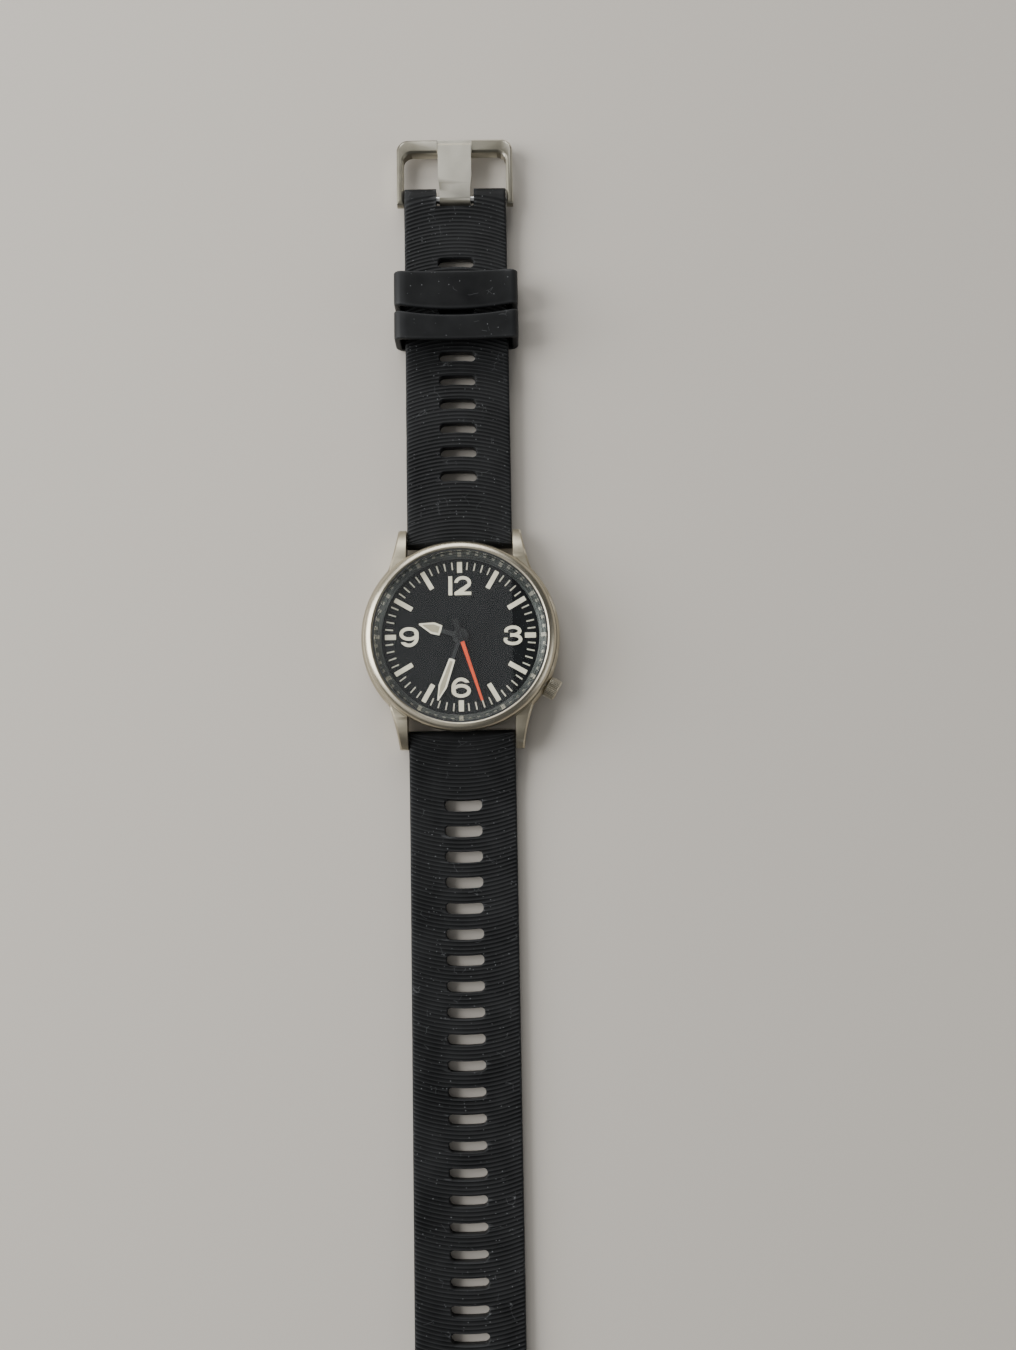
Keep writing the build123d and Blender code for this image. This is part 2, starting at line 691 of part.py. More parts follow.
with BuildPart() as strap_long:
    with BuildSketch(Plane.YZ.offset(-strap_width / 2)):
        with BuildLine():
            Polyline(
                (-bar_reach, bar_height + eye), (-bar_reach - 5, 3.55), (-table_reach, strap_thick),
                (-strap_tip, strap_thick), (-strap_tip, 0), (-table_reach, 0),
                (-bar_reach - 5, 0.62), (-bar_reach, bar_height - eye), close=True,
            )
        make_face()
        with Locations((-bar_reach, bar_height)):
            Circle(eye)
    extrude(amount=strap_width)
    cross_bar(bar_radius + running_play, -11, 11, (-bar_reach, bar_height), Mode.SUBTRACT)
    with BuildSketch(Plane.XY.offset(-1)):
        with Locations((0, -strap_tip / 2 + 10)):
            RectangleRounded(strap_width, strap_tip + 20, 7.0)
    extrude(amount=10, mode=Mode.INTERSECT)
    slot_row(-slot_first, -slot_pitch, long_slots)
save(strap_long, "strap_long")

# Each keeper is a closed loop, cut to its own length with the curved gap between the two
for name, (near, far) in keeper_edges.items():
    sag_near = keeper_sag if name == "keeper_upper" else 0.35
    sag_far = keeper_sag if name == "keeper_lower" else 0.35
    with BuildPart() as keeper:
        with BuildSketch(Plane.XZ.offset(-near + 3)):
            with Locations((0, keeper_height / 2)):
                RectangleRounded(keeper_width, keeper_height, 2.4)
                RectangleRounded(keeper_width - 2 * keeper_wall, keeper_height - 2 * keeper_wall, 1.3,
                                 mode=Mode.SUBTRACT)
        extrude(amount=-(far - near + 6))
        with BuildSketch(Plane.XY.offset(-1)):
            with BuildLine():
                edge = keeper_width / 2 + 1
                ThreePointArc((-edge, near), (0, near - sag_near), (edge, near))
                Line((edge, near), (edge, far))
                ThreePointArc((edge, far), (0, far - sag_far), (-edge, far))
                Line((-edge, far), (-edge, near))
            make_face()
        extrude(amount=keeper_height + 2, mode=Mode.INTERSECT)
    save(keeper, name)


# Buckle -------------------------------------------------------------------------------------------
frame_half = gap_half + buckle_arm
arm_end = buckle_axis - 1.5
with BuildPart() as buckle_frame:
    with BuildSketch(Plane.XY.offset(buckle_low)):
        with BuildLine():
            FilletPolyline((-frame_half, arm_end), (-frame_half, buckle_top), (frame_half, buckle_top),
                           (frame_half, arm_end), radius=2.3)
            Line((frame_half, arm_end), (-frame_half, arm_end))
        make_face()
        with BuildLine():
            FilletPolyline((-gap_half, arm_end - 1), (-gap_half, buckle_top - buckle_bridge),
                           (gap_half, buckle_top - buckle_bridge), (gap_half, arm_end - 1), radius=1.8)
            Line((gap_half, arm_end - 1), (-gap_half, arm_end - 1))
        make_face(mode=Mode.SUBTRACT)
    extrude(amount=buckle_high - buckle_low)
    with BuildSketch(Plane.YZ.offset(-20)):
        with BuildLine():
            middle = (buckle_low + buckle_high) / 2
            Polyline((buckle_axis, buckle_high), (buckle_top, buckle_high), (buckle_top, buckle_low),
                     (buckle_axis, buckle_low))
            ThreePointArc((buckle_axis, buckle_low), (arm_end, middle), (buckle_axis, buckle_high))
        make_face()
    extrude(amount=40, mode=Mode.INTERSECT)
    top_edges = buckle_frame.faces().sort_by(Axis.Z)[-1].edges()
    chamfer(top_edges.filter_by(lambda e: e.center().Y > buckle_axis + 2), length=0.4)
    with Locations((0, buckle_top - buckle_bridge / 2 - 0.4, buckle_high - 0.5)):
        Box(tang_width + 0.3, buckle_bridge + 0.8, 2, align=base, mode=Mode.SUBTRACT)
    cross_bar(0.36, -gap_half - 0.9, gap_half + 0.9, (buckle_axis, bar_height), Mode.SUBTRACT)
save(buckle_frame, "buckle_frame")

with BuildPart() as buckle_tang:
    rest = buckle_high - 0.5 + 0.05
    with BuildSketch(Plane.YZ.offset(-tang_width / 2)):
        with Locations((buckle_axis, bar_height)):
            Circle(1.6)
        with BuildLine():
            Polyline(
                (buckle_axis - 0.2, bar_height + 1.59), (buckle_axis + 2.6, rest + tang_thick),
                (tang_tip - 0.7, rest + tang_thick), (tang_tip, rest + 0.45), (tang_tip, rest),
                (buckle_axis + 2.2, rest), (buckle_axis + 1.2, bar_height), close=True,
            )
        make_face()
    extrude(amount=tang_width)
    with BuildSketch(Plane.XY):
        with BuildLine():
            Polyline(
                (-tang_root / 2, buckle_axis - 3), (-tang_root / 2, buckle_axis + 1.5),
                (-tang_width / 2, buckle_axis + 4), (-tang_width / 2, tang_tip + 1),
                (tang_width / 2, tang_tip + 1), (tang_width / 2, buckle_axis + 4),
                (tang_root / 2, buckle_axis + 1.5), (tang_root / 2, buckle_axis - 3), close=True,
            )
        make_face()
    extrude(amount=10, mode=Mode.INTERSECT)
    cross_bar(buckle_bar_radius + running_play, -5, 5, (buckle_axis, bar_height), Mode.SUBTRACT)
save(buckle_tang, "buckle_tang")


# Spring bars --------------------------------------------------------------------------------------
# Each bar is a tube that holds a spring between two tips. A tip's shank runs in the tube, and its
# pin comes out through the tube's lip into a blind hole.
def bar_tube(piece_name, centre, radius, bore, lip, half):
    """Tube with a lip at each end that keeps the tips in."""
    with BuildPart() as tube:
        cross_bar(radius, -half, half, centre)
        cross_bar(lip, -half, half, centre, Mode.SUBTRACT)
        cross_bar(bore, -half + 0.2, half - 0.2, centre, Mode.SUBTRACT)
    save(tube, piece_name)


def bar_tip(piece_name, centre, side, shank, pin, half, reach):
    """Sprung tip at one end of a bar."""
    with BuildPart() as tip:
        inner, shoulder_x, outer = half - 2.2, half - 0.2, reach
        for radius, start, end in ((shank, inner, shoulder_x), (pin, shoulder_x, outer)):
            ends = sorted((side * start, side * end))
            cross_bar(radius, ends[0], ends[1], centre)
    save(tip, piece_name)


def bar_spring(half, radius, wire, centre):
    """Coil spring between the two shanks, along X."""
    length = 2 * (half - 2.2) - 2 * wire
    helix_plane = Plane(origin=(-length / 2, *centre), z_dir=(1, 0, 0))
    coil = helix_plane.location * Helix(pitch=length / 12, height=length, radius=radius)
    with BuildSketch(Plane(origin=coil @ 0, z_dir=coil % 0)) as section:
        Circle(wire)
    sweep(section.sketch, path=coil)


lug_bar = {"half": 9.4, "reach": 11.0}
buckle_bar = {"half": 9.4, "reach": 10.9}
bars = {
    "lug_bar_12": (bar_reach, bar_radius, 0.6, 0.42, 0.54, 0.36, lug_bar),
    "lug_bar_6": (-bar_reach, bar_radius, 0.6, 0.42, 0.54, 0.36, lug_bar),
    "buckle_bar": (buckle_axis, buckle_bar_radius, 0.5, 0.37, 0.44, 0.31, buckle_bar),
}
for name, (reach_y, radius, bore, lip, shank, pin, size) in bars.items():
    centre = (reach_y, bar_height)
    bar_tube(name, centre, radius, bore, lip, size["half"])
    for side_name, side in (("left", -1), ("right", 1)):
        bar_tip(f"{name}_tip_{side_name}", centre, side, shank, pin, size["half"], size["reach"])

with BuildPart() as lug_bar_springs:
    for side in (1, -1):
        bar_spring(lug_bar["half"], 0.42, 0.09, (side * bar_reach, bar_height))
save(lug_bar_springs, "lug_bar_springs")

with BuildPart() as buckle_bar_spring:
    bar_spring(buckle_bar["half"], 0.34, 0.07, (buckle_axis, bar_height))
save(buckle_bar_spring, "buckle_bar_spring")
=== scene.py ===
import json
import math

import bmesh
import bpy
from mathutils import Matrix, Vector, noise


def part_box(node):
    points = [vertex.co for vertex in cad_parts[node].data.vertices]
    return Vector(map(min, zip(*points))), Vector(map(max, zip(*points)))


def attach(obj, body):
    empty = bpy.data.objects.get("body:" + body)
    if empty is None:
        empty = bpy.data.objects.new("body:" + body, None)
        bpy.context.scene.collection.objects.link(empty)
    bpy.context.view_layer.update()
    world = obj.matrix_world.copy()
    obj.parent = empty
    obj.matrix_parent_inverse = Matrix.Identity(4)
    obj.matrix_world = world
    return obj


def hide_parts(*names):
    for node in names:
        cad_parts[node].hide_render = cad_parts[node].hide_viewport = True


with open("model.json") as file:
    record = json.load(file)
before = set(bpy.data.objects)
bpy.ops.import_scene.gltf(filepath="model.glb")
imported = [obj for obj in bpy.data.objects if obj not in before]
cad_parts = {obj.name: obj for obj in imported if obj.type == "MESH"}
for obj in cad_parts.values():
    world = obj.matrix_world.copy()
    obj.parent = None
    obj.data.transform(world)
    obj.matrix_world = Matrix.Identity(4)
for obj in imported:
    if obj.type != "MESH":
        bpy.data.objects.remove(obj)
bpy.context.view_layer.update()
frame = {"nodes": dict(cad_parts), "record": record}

MM = 0.001
bodies = frame["record"]["behaviour"]["bodies"]
body_of_node = {node: body for body, nodes in bodies.items() for node in nodes}
slot_of_node = {part["node"]: part["material_slot"] for part in frame["record"]["subparts"]}


# Sizes, in millimetres, read from the frame ---------------------------------------------------------
def span(node):
    """Lowest and highest corners of a CAD node in millimetres."""
    low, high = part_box(node)
    return low / MM, high / MM


bezel_low, bezel_high = span("bezel")
crystal_low, crystal_high = span("crystal")
bar_12_low, bar_12_high = span("lug_bar_12")
buckle_bar_low, buckle_bar_high = span("buckle_bar")
short_low, short_high = span("strap_short")
long_low, long_high = span("strap_long")
bezel_radius = bezel_high.x
crystal_radius = crystal_high.x
bar_reach = (bar_12_low.y + bar_12_high.y) / 2
bar_height = (bar_12_low.z + bar_12_high.z) / 2
buckle_reach = (buckle_bar_low.y + buckle_bar_high.y) / 2
strap_half_width = short_high.x
strap_eye = bar_reach - short_low.y         # radius of the eye round a lug bar
buckle_eye = short_high.y - buckle_reach    # radius of the eye round the buckle's bar

# Strap figures that the frame's boxes don't give. A reach is a distance from the dial's axis along the strap.
strap_half_thick = 1.3
strap_side_round = 0.6
eye_taper = 9.0             # length over which the eye at a lug bar thins to the strap
buckle_taper = 6.0          # the same at the buckle's bar
table_reach = 33.0          # where the long half has come down to the table
tip_round = 0.9             # rounding of the long half's tip, seen from the side
tip_corner = 7.0            # rounding of its two corners, seen from above
groove_pitch = 0.75
groove_depth = 0.13
groove_arc = 27.0           # radius of the curve that grooves and slots follow
rows_per_groove = 6
slot_first = 31.5
slot_pitch = 4.75
slot_length = 6.95
slot_gap = 2.0              # a slot's opening along the strap
slot_rounding = 0.85
slot_flare = 0.2            # widening of a slot at the strap's two faces
notch_half_width = 3.7      # opening in the short half's end, where the tang turns
notch_depth = 2.1

# Colours that more than one finish has
part_black = (0.004, 0.0045, 0.005)
gilt_dark = (0.60, 0.42, 0.17)
gilt_light = (0.78, 0.58, 0.27)


# Node helpers -------------------------------------------------------------------------------------
def wire(tree, kind, inputs=None, **settings):
    """Node with its settings, and its inputs set to values or linked to sockets."""
    node = tree.nodes.new(kind)
    for name, value in settings.items():
        setattr(node, name, value)
    for name, value in (inputs or {}).items():
        if isinstance(value, bpy.types.NodeSocket):
            tree.links.new(value, node.inputs[name])
        else:
            node.inputs[name].default_value = value
    return node


def maths(tree, operation, first, second=0.0):
    """Output of one Math node."""
    node = wire(tree, "ShaderNodeMath", {0: first, 1: second}, operation=operation)
    return node.outputs[0]


def stretch(tree, value, low, high, to_low=0.0, to_high=1.0):
    """A value mapped from one range to another, and held at its ends."""
    node = wire(tree, "ShaderNodeMapRange", {"Value": value, "From Min": low, "From Max": high,
                                              "To Min": to_low, "To Max": to_high})
    return node.outputs["Result"]


def spread(tree, texture, to_low=0.0, to_high=1.0):
    """A noise texture, which seldom leaves its middle, mapped over a whole range."""
    return stretch(tree, texture, 0.3, 0.7, to_low, to_high)


def new_group(name, inputs, outputs):
    """Empty shader node group with named float inputs and outputs."""
    tree = bpy.data.node_groups.new(name, "ShaderNodeTree")
    for socket, value in inputs.items():
        made = tree.interface.new_socket(socket, in_out="INPUT", socket_type="NodeSocketFloat")
        made.default_value = value
    for socket in outputs:
        tree.interface.new_socket(socket, in_out="OUTPUT", socket_type="NodeSocketFloat")
    return tree, tree.nodes.new("NodeGroupInput").outputs, tree.nodes.new("NodeGroupOutput").inputs


def object_point(tree):
    """Object coordinates, which are metres in the watch's own frame."""
    return tree.nodes.new("ShaderNodeTexCoord").outputs["Object"]


def object_axes(tree):
    """X, Y and Z of the object coordinates."""
    return wire(tree, "ShaderNodeSeparateXYZ", {"Vector": object_point(tree)}).outputs


def axis_distance(tree, x, y):
    """Distance from the dial's axis."""
    squares = maths(tree, "ADD", maths(tree, "MULTIPLY", x, x), maths(tree, "MULTIPLY", y, y))
    return maths(tree, "SQRT", squares)


# Effects that several finishes share ----------------------------------------------------------------
def build_blasted():
    """Fine pitted grain of bead blasting, with a slow drift in tone."""
    tree, given, out = new_group("blasted_grain", {"Grain": 9000.0, "Drift": 260.0}, ["Height", "Tone"])
    point = object_point(tree)
    grain = wire(tree, "ShaderNodeTexNoise", {"Vector": point, "Scale": given["Grain"], "Detail": 3.0})
    drift = wire(tree, "ShaderNodeTexNoise", {"Vector": point, "Scale": given["Drift"], "Detail": 4.0})
    tree.links.new(grain.outputs["Fac"], out["Height"])
    tree.links.new(spread(tree, drift.outputs["Fac"]), out["Tone"])
    return tree


def build_ring_brushing():
    """Fine scratches that run round the dial's axis."""
    tree, given, out = new_group("ring_brushing", {"Lines": 26000.0, "Breaks": 2.2}, ["Height"])
    x, y, z = object_axes(tree)
    radius = axis_distance(tree, x, y)
    angle = maths(tree, "ARCTAN2", y, x)
    place = wire(tree, "ShaderNodeCombineXYZ", {
        "X": maths(tree, "MULTIPLY", radius, given["Lines"]),
        "Y": maths(tree, "MULTIPLY", angle, given["Breaks"]),
        "Z": maths(tree, "MULTIPLY", z, given["Lines"]),
    })
    lines = wire(tree, "ShaderNodeTexNoise", {"Vector": place.outputs[0], "Scale": 1.0, "Detail": 3.0,
                                               "Roughness": 0.65})
    tree.links.new(lines.outputs["Fac"], out["Height"])
    return tree


def build_straight_brushing():
    """Fine scratches that run along X."""
    tree, given, out = new_group("straight_brushing", {"Lines": 16000.0}, ["Height"])
    along_x = (0.03, 1.0, 1.0)
    squeezed = wire(tree, "ShaderNodeMapping", {"Vector": object_point(tree), "Scale": along_x})
    lines = wire(tree, "ShaderNodeTexNoise", {"Vector": squeezed.outputs[0], "Scale": given["Lines"],
                                               "Detail": 3.0})
    tree.links.new(lines.outputs["Fac"], out["Height"])
    return tree


def build_dust():
    """Sparse specks and short lint threads, as a mask."""
    tree, given, out = new_group("dust_and_lint", {"Specks": 1500.0, "Amount": 0.5}, ["Mask"])
    point = object_point(tree)
    cells = wire(tree, "ShaderNodeTexVoronoi", {"Vector": point, "Scale": given["Specks"]})
    cell_value = wire(tree, "ShaderNodeSeparateColor", {"Color": cells.outputs["Color"]})
    chosen = maths(tree, "LESS_THAN", cell_value.outputs["Red"], given["Amount"])
    size = stretch(tree, cell_value.outputs["Green"], 0.0, 1.0, 0.04, 0.17)
    speck = maths(tree, "MULTIPLY", maths(tree, "LESS_THAN", cells.outputs["Distance"], size), chosen)
    bent = wire(tree, "ShaderNodeTexNoise", {"Vector": point, "Scale": 420.0, "Detail": 1.0})
    curl = 1.6 * MM
    bend = wire(tree, "ShaderNodeVectorMath", {0: bent.outputs["Color"], 1: (curl, curl, curl)},
                operation="MULTIPLY")
    shifted = wire(tree, "ShaderNodeVectorMath", {0: point, 1: bend.outputs[0]}, operation="ADD")
    threads = wire(tree, "ShaderNodeTexVoronoi", {"Vector": shifted.outputs[0], "Scale": 310.0},
                   feature="DISTANCE_TO_EDGE")
    patch = wire(tree, "ShaderNodeTexNoise", {"Vector": point, "Scale": 330.0, "Detail": 0.0})
    thread_width, bare_share, thread_strength = 0.009, 0.69, 0.4
    thread = maths(tree, "MULTIPLY", maths(tree, "LESS_THAN", threads.outputs["Distance"], thread_width),
                   maths(tree, "GREATER_THAN", patch.outputs["Fac"], bare_share))
    faint = maths(tree, "MULTIPLY", thread, thread_strength)
    tree.links.new(maths(tree, "MAXIMUM", speck, faint), out["Mask"])
    return tree


def build_edge_wear():
    """Mask that is 1 on worn outer edges and 0 on flats."""
    tree, given, out = new_group("edge_wear", {"Start": 0.52, "Full": 0.62}, ["Mask"])
    bend = tree.nodes.new("ShaderNodeNewGeometry").outputs["Pointiness"]
    tree.links.new(stretch(tree, bend, given["Start"], given["Full"]), out["Mask"])
    return tree


blasted_grain = build_blasted()
ring_brushing = build_ring_brushing()
straight_brushing = build_straight_brushing()
dust_and_lint = build_dust()
edge_wear = build_edge_wear()


# Finishes -----------------------------------------------------------------------------------------
def start_material(name, settings):
    """New material with plain values on its Principled BSDF. Gives its tree and shader too."""
    material = bpy.data.materials.new(name)
    material.use_nodes = True
    tree = material.node_tree
    shader = tree.nodes["Principled BSDF"]
    for socket, value in settings.items():
        shader.inputs[socket].default_value = value
    return material, tree, shader


def use(tree, group, **values):
    """A shared effect placed in a material with its own values."""
    node = tree.nodes.new("ShaderNodeGroup")
    node.node_tree = group
    for socket, value in values.items():
        node.inputs[socket].default_value = value
    return node.outputs


def mix_colour(tree, mask, first, second):
    """Mix of two colours, each a socket or a plain colour, by a mask."""
    first, second = (colour if isinstance(colour, bpy.types.NodeSocket) else (*colour, 1)
                     for colour in (first, second))
    factor_input, first_input, second_input, colour_output = 0, 6, 7, 2
    node = wire(tree, "ShaderNodeMix", data_type="RGBA")
    tree.links.new(mask, node.inputs[factor_input])
    for socket, colour in ((first_input, first), (second_input, second)):
        if isinstance(colour, bpy.types.NodeSocket):
            tree.links.new(colour, node.inputs[socket])
        else:
            node.inputs[socket].default_value = colour
    return node.outputs[colour_output]


def cover(tree, shader, colour, roughness, height, distance):
    """Shader given its colour, its roughness and a bump whose height is in metres."""
    tree.links.new(colour, shader.inputs["Base Color"])
    tree.links.new(roughness, shader.inputs["Roughness"])
    bump = wire(tree, "ShaderNodeBump", {"Height": height, "Distance": distance, "Strength": 1.0})
    tree.links.new(bump.outputs["Normal"], shader.inputs["Normal"])


def blasted_metal(name, dark, light, worn, grain=0.000012, roughness=(0.34, 0.48)):
    """Bead-blasted titanium with edges rubbed brighter."""
    material, tree, shader = start_material(name, {"Metallic": 1.0})
    blasted = use(tree, blasted_grain)
    wear = use(tree, edge_wear)["Mask"]
    tone = mix_colour(tree, blasted["Tone"], dark, light)
    speck = stretch(tree, blasted["Height"], 0.35, 0.65)
    pit_strength, pit_darkness, polish = 0.3, 0.62, 0.12
    pits = tuple(pit_darkness * channel for channel in dark)
    speckled = mix_colour(tree, maths(tree, "MULTIPLY", speck, pit_strength), tone, pits)
    rough = stretch(tree, blasted["Tone"], 0.0, 1.0, *roughness)
    polished = maths(tree, "SUBTRACT", rough, maths(tree, "MULTIPLY", wear, polish))
    cover(tree, shader, mix_colour(tree, wear, speckled, worn), polished, blasted["Height"], grain)
    return material


def brushed_ring_metal(name, dark, light, distance=0.000006, roughness=(0.24, 0.36)):
    """Metal brushed round the dial's axis."""
    material, tree, shader = start_material(name, {"Metallic": 1.0})
    lines = use(tree, ring_brushing)["Height"]
    blasted = use(tree, blasted_grain, Drift=180.0)
    fine = spread(tree, lines)
    tone = maths(tree, "MULTIPLY", maths(tree, "ADD", fine, blasted["Tone"]), 0.5)
    rough = stretch(tree, fine, 0.0, 1.0, *roughness)
    cover(tree, shader, mix_colour(tree, tone, dark, light), rough, lines, distance)
    return material


def brushed_metal(name, dark, light, distance=0.000004, roughness=(0.22, 0.36)):
    """Metal with a straight fine grain."""
    material, tree, shader = start_material(name, {"Metallic": 1.0})
    lines = use(tree, straight_brushing)["Height"]
    fine = spread(tree, lines)
    rough = stretch(tree, fine, 0.0, 1.0, *roughness)
    cover(tree, shader, mix_colour(tree, fine, dark, light), rough, lines, distance)
    return material


def rubber(name, dark, light, dust_amount, roughness, grain=0.00002):
    """Black rubber with a fine moulded grain, dust and lint."""
    dust_colour, dust_strength, dust_roughness, rub_strength = (0.16, 0.165, 0.17), 0.75, 0.9, 0.22
    material, tree, shader = start_material(name, {"Specular IOR Level": 0.14})
    blasted = use(tree, blasted_grain, Grain=5200.0, Drift=150.0)
    dust = use(tree, dust_and_lint, Amount=dust_amount)["Mask"]
    wear = use(tree, edge_wear, Start=0.505, Full=0.56)["Mask"]
    rubbed = maths(tree, "MULTIPLY", wear, rub_strength)
    base = mix_colour(tree, rubbed, mix_colour(tree, blasted["Tone"], dark, light), dust_colour)
    dusty = mix_colour(tree, maths(tree, "MULTIPLY", dust, dust_strength), base, dust_colour)
    clean_rough = stretch(tree, blasted["Tone"], 0.0, 1.0, *roughness)
    rough = maths(tree, "MAXIMUM", clean_rough, maths(tree, "MULTIPLY", dust, dust_roughness))
    cover(tree, shader, dusty, rough, blasted["Height"], grain)
    return material


def paint(name, dark, light, roughness, grain=0.000008, scale=6000.0, drift=400.0, sheen=0.4):
    """Smooth paint, print or plastic with a faint grain and drift in tone."""
    material, tree, shader = start_material(name, {"Specular IOR Level": sheen})
    blasted = use(tree, blasted_grain, Grain=scale, Drift=drift)
    rough = spread(tree, blasted["Height"], *roughness)
    cover(tree, shader, mix_colour(tree, blasted["Tone"], dark, light), rough, blasted["Height"], grain)
    return material


def stem_and_blade(name, reach):
    """Hand paint that is black out to the start of the blade and cream beyond it."""
    material, tree, shader = start_material(name, {})
    blasted = use(tree, blasted_grain, Grain=6000.0, Drift=500.0)
    x, y, _ = object_axes(tree)
    outer = maths(tree, "GREATER_THAN", axis_distance(tree, x, y), reach * MM)
    cream = mix_colour(tree, blasted["Tone"], (0.66, 0.61, 0.47), (0.76, 0.71, 0.57))
    rough = spread(tree, blasted["Height"], 0.35, 0.5)
    cover(tree, shader, mix_colour(tree, outer, part_black, cream), rough, blasted["Height"], 0.000006)
    return material


def needle_paint(name, reach, turn):
    """Second hand's paint: orange-red along the needle, black on its hub and tail."""
    material, tree, shader = start_material(name, {"Specular IOR Level": 0.3})
    blasted = use(tree, blasted_grain, Grain=6000.0, Drift=500.0)
    pointing = (math.cos(turn), math.sin(turn), 0)
    along = wire(tree, "ShaderNodeVectorMath", {0: object_point(tree), 1: pointing}, operation="DOT_PRODUCT")
    beyond = maths(tree, "GREATER_THAN", along.outputs["Value"], reach * MM)
    red = mix_colour(tree, blasted["Tone"], (0.52, 0.050, 0.014), (0.60, 0.070, 0.022))
    rough = spread(tree, blasted["Height"], 0.32, 0.44)
    cover(tree, shader, mix_colour(tree, beyond, part_black, red), rough, blasted["Height"], 0.000006)
    return material


def arbor_metal(name, hub_height):
    """Gilt brass wheel and arbor, whose upper end is blacked where the hand's hub is pressed on."""
    material, tree, shader = start_material(name, {})
    lines = use(tree, straight_brushing)["Height"]
    blacked = maths(tree, "GREATER_THAN", object_axes(tree)["Z"], hub_height * MM)
    gilt = mix_colour(tree, spread(tree, lines), gilt_dark, gilt_light)
    colour = mix_colour(tree, blacked, gilt, (0.006, 0.0065, 0.007))
    tree.links.new(maths(tree, "SUBTRACT", 1.0, blacked), shader.inputs["Metallic"])
    cover(tree, shader, colour, spread(tree, lines, 0.22, 0.36), lines, 0.000004)
    return material


def chapter_metal(name, dark, light, tick_colour):
    """Dark satin ring with a fine tick at each minute and a longer one at each hour."""
    material, tree, shader = start_material(name, {"Metallic": 0.85})
    lines = use(tree, ring_brushing)["Height"]
    x, y, z = object_axes(tree)
    angle = maths(tree, "DIVIDE", maths(tree, "ARCTAN2", y, x), math.tau)
    height = maths(tree, "DIVIDE", z, MM)
    minute_ticks = (60, 0.18, 6.75, 7.05)
    hour_ticks = (12, 0.045, 6.35, 7.05)
    tick_strength = 0.7
    marks = []
    for count, width, low, high in (minute_ticks, hour_ticks):
        place = maths(tree, "FRACT", maths(tree, "ADD", maths(tree, "MULTIPLY", angle, count), 0.5))
        near = maths(tree, "LESS_THAN", maths(tree, "ABSOLUTE", maths(tree, "SUBTRACT", place, 0.5)), width)
        band = maths(tree, "MULTIPLY", maths(tree, "GREATER_THAN", height, low),
                     maths(tree, "LESS_THAN", height, high))
        marks.append(maths(tree, "MULTIPLY", near, band))
    tone = mix_colour(tree, spread(tree, lines), dark, light)
    tick = maths(tree, "MULTIPLY", maths(tree, "MAXIMUM", *marks), tick_strength)
    colour = mix_colour(tree, tick, tone, tick_colour)
    cover(tree, shader, colour, spread(tree, lines, 0.2, 0.34), lines, 0.000004)
    return material


def crystal_glass():
    """Clear glass that lets light and shadow rays through to the dial."""
    material, tree, shader = start_material("crystal_clear", {
        "Base Color": (0.97, 0.985, 0.98, 1), "Roughness": 0.0, "IOR": 1.34, "Transmission Weight": 1.0,
    })
    smear = use(tree, blasted_grain, Grain=900.0, Drift=90.0)
    tree.links.new(stretch(tree, smear["Tone"], 0.0, 1.0, 0.0, 0.03), shader.inputs["Roughness"])
    clear = wire(tree, "ShaderNodeBsdfTransparent", {"Color": (0.93, 0.94, 0.94, 1)})
    shadow = tree.nodes.new("ShaderNodeLightPath").outputs["Is Shadow Ray"]
    both = wire(tree, "ShaderNodeMixShader", {0: shadow, 1: shader.outputs[0], 2: clear.outputs[0]})
    tree.links.new(both.outputs[0], tree.nodes["Material Output"].inputs["Surface"])
    return material


# Metals: darkest and lightest colour, then the colour of worn edges
titanium = blasted_metal("titanium_blasted", (0.43, 0.385, 0.285), (0.50, 0.455, 0.345),
                         (0.74, 0.69, 0.57), roughness=(0.38, 0.46))
titanium_ring = brushed_ring_metal("titanium_ring_brushed", (0.45, 0.405, 0.305), (0.62, 0.57, 0.45))
titanium_buckle = blasted_metal("titanium_buckle", (0.225, 0.21, 0.165), (0.265, 0.25, 0.2),
                                (0.72, 0.69, 0.59), roughness=(0.42, 0.5))

# Rubbers: darkest and lightest colour, amount of dust, and roughness
strap_black = rubber("strap_rubber_black", (0.0035, 0.0038, 0.004), (0.013, 0.0135, 0.014),
                     0.5, (0.44, 0.6))
keeper_black = rubber("keeper_rubber_black", (0.006, 0.0064, 0.0068), (0.014, 0.0146, 0.015),
                      0.30, (0.38, 0.5), grain=0.00001)
seal_black = rubber("seal_rubber_black", (0.010, 0.010, 0.010), (0.02, 0.02, 0.02), 0.0, (0.45, 0.55))

# Paints: darkest and lightest colour, and roughness
dial_black = paint("dial_matt_black", (0.0032, 0.0037, 0.0042), (0.0048, 0.0054, 0.006),
                   (0.5, 0.62), drift=120.0, sheen=0.08)
lume_cream = paint("lume_cream", (0.58, 0.535, 0.405), (0.68, 0.63, 0.49),
                   (0.55, 0.75), grain=0.00003, scale=9000.0)
track_cream = paint("track_print_cream", (0.42, 0.395, 0.31), (0.52, 0.49, 0.39), (0.5, 0.6))
lume_aged = paint("lume_aged", (0.27, 0.24, 0.165), (0.35, 0.315, 0.22),
                  (0.6, 0.8), grain=0.00003, scale=9000.0)

